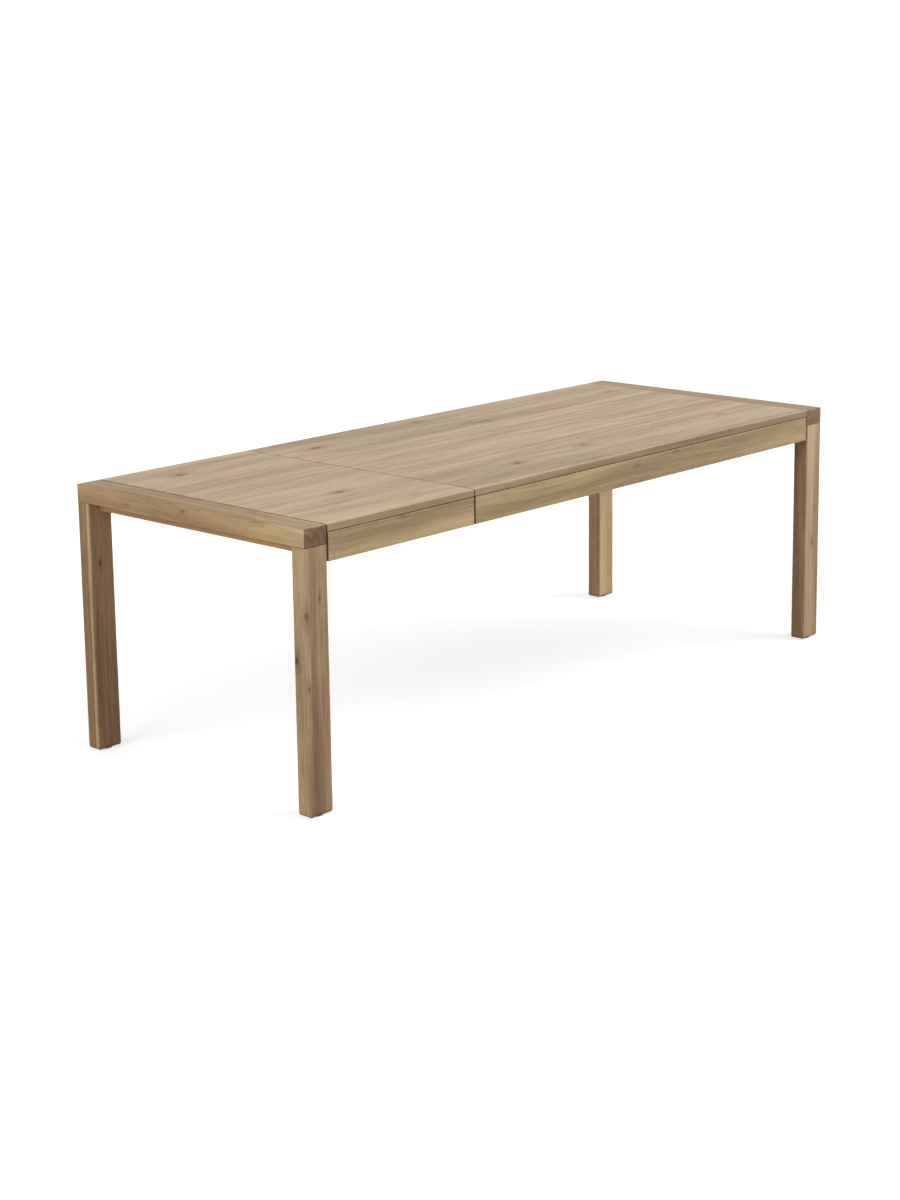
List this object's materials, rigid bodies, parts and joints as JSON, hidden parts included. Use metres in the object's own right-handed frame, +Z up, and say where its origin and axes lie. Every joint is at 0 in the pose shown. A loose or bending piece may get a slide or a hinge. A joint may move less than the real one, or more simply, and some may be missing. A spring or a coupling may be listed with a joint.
{
  "type": "extendable dining table",
  "caption": "Rectangular oak dining table on square legs; one end section slides out on runners and a loose leaf stored under the top fills the gap.",
  "frame": {"origin": "on the floor, under the middle of the closed table", "axes": "+X along the table, away from the pull-out end; +Y across it, towards the back long side; +Z up"},
  "size_m": [2.3, 0.9, 0.76],
  "materials": {
    "oak_top": "matte oiled oak, long pale streaks along the grain",
    "oak_beam": "matte oiled oak, knots, end grain on its short faces",
    "oak_leg": "matte oiled oak, upright grain, knots",
    "oak_apron": "matte oiled oak, fine straight grain",
    "beech": "plain unfinished beech",
    "bolt_steel": "zinc plated",
    "lock_steel": "zinc plated",
    "foot_nylon": "matte"
  },
  "bodies": {
    "fixed_section": {"far_batten": "beech", "fixed_back_corner_block": "beech", "fixed_back_foot": "foot_nylon", "fixed_back_leg": "oak_leg", "fixed_back_leg_bolt": "bolt_steel", "fixed_end_beam": "oak_beam", "fixed_end_ledger": "beech", "fixed_end_rail": "oak_beam", "fixed_front_corner_block": "beech", "fixed_front_foot": "foot_nylon", "fixed_front_leg": "oak_leg", "fixed_front_leg_bolt": "bolt_steel", "guide_inner_back": "beech", "guide_inner_front": "beech", "guide_lip_back": "beech", "guide_lip_front": "beech", "guide_outer_back": "beech", "guide_outer_front": "beech", "leaf_ledge_back": "beech", "leaf_ledge_front": "beech", "leaf_stop_batten": "beech", "lock_keeper_back": "lock_steel", "lock_keeper_front": "lock_steel", "long_apron_back": "oak_apron", "long_apron_front": "oak_apron", "long_cleat_back": "beech", "long_cleat_front": "beech", "long_top_panel": "oak_top"},
    "pull_out_end": {"end_apron_back": "oak_apron", "end_apron_front": "oak_apron", "end_cleat_back": "beech", "end_cleat_front": "beech", "end_top_panel": "oak_top", "lock_housing_back": "lock_steel", "lock_housing_front": "lock_steel", "pull_back_corner_block": "beech", "pull_back_foot": "foot_nylon", "pull_back_leg": "oak_leg", "pull_back_leg_bolt": "bolt_steel", "pull_end_beam": "oak_beam", "pull_end_ledger": "beech", "pull_end_rail": "oak_beam", "pull_front_corner_block": "beech", "pull_front_foot": "foot_nylon", "pull_front_leg": "oak_leg", "pull_front_leg_bolt": "bolt_steel", "runner_back": "beech", "runner_front": "beech", "runner_stop_back": "beech", "runner_stop_front": "beech", "seam_dowel_1": "beech", "seam_dowel_2": "beech", "seam_dowel_3": "beech", "seam_dowel_4": "beech"},
    "spare_leaf": {"spare_leaf": "oak_top"},
    "lock_bolt_front": {"lock_bolt_front": "lock_steel"},
    "lock_bolt_back": {"lock_bolt_back": "lock_steel"}
  },
  "joints": [
    {"name": "end_slide", "type": "slide", "parent": "fixed_section", "child": "pull_out_end", "axis": [-1, 0, 0], "range_m": [0, 0.5]},
    {"name": "leaf_slide", "type": "slide", "parent": "fixed_section", "child": "spare_leaf", "axis": [-1, 0, 0], "range_m": [0, 0.45]},
    {"name": "lock_front_slide", "type": "slide", "parent": "pull_out_end", "child": "lock_bolt_front", "axis": [1, 0, 0], "range_m": [0, 0.04]},
    {"name": "lock_back_slide", "type": "slide", "parent": "pull_out_end", "child": "lock_bolt_back", "axis": [1, 0, 0], "range_m": [0, 0.04]}
  ]
}
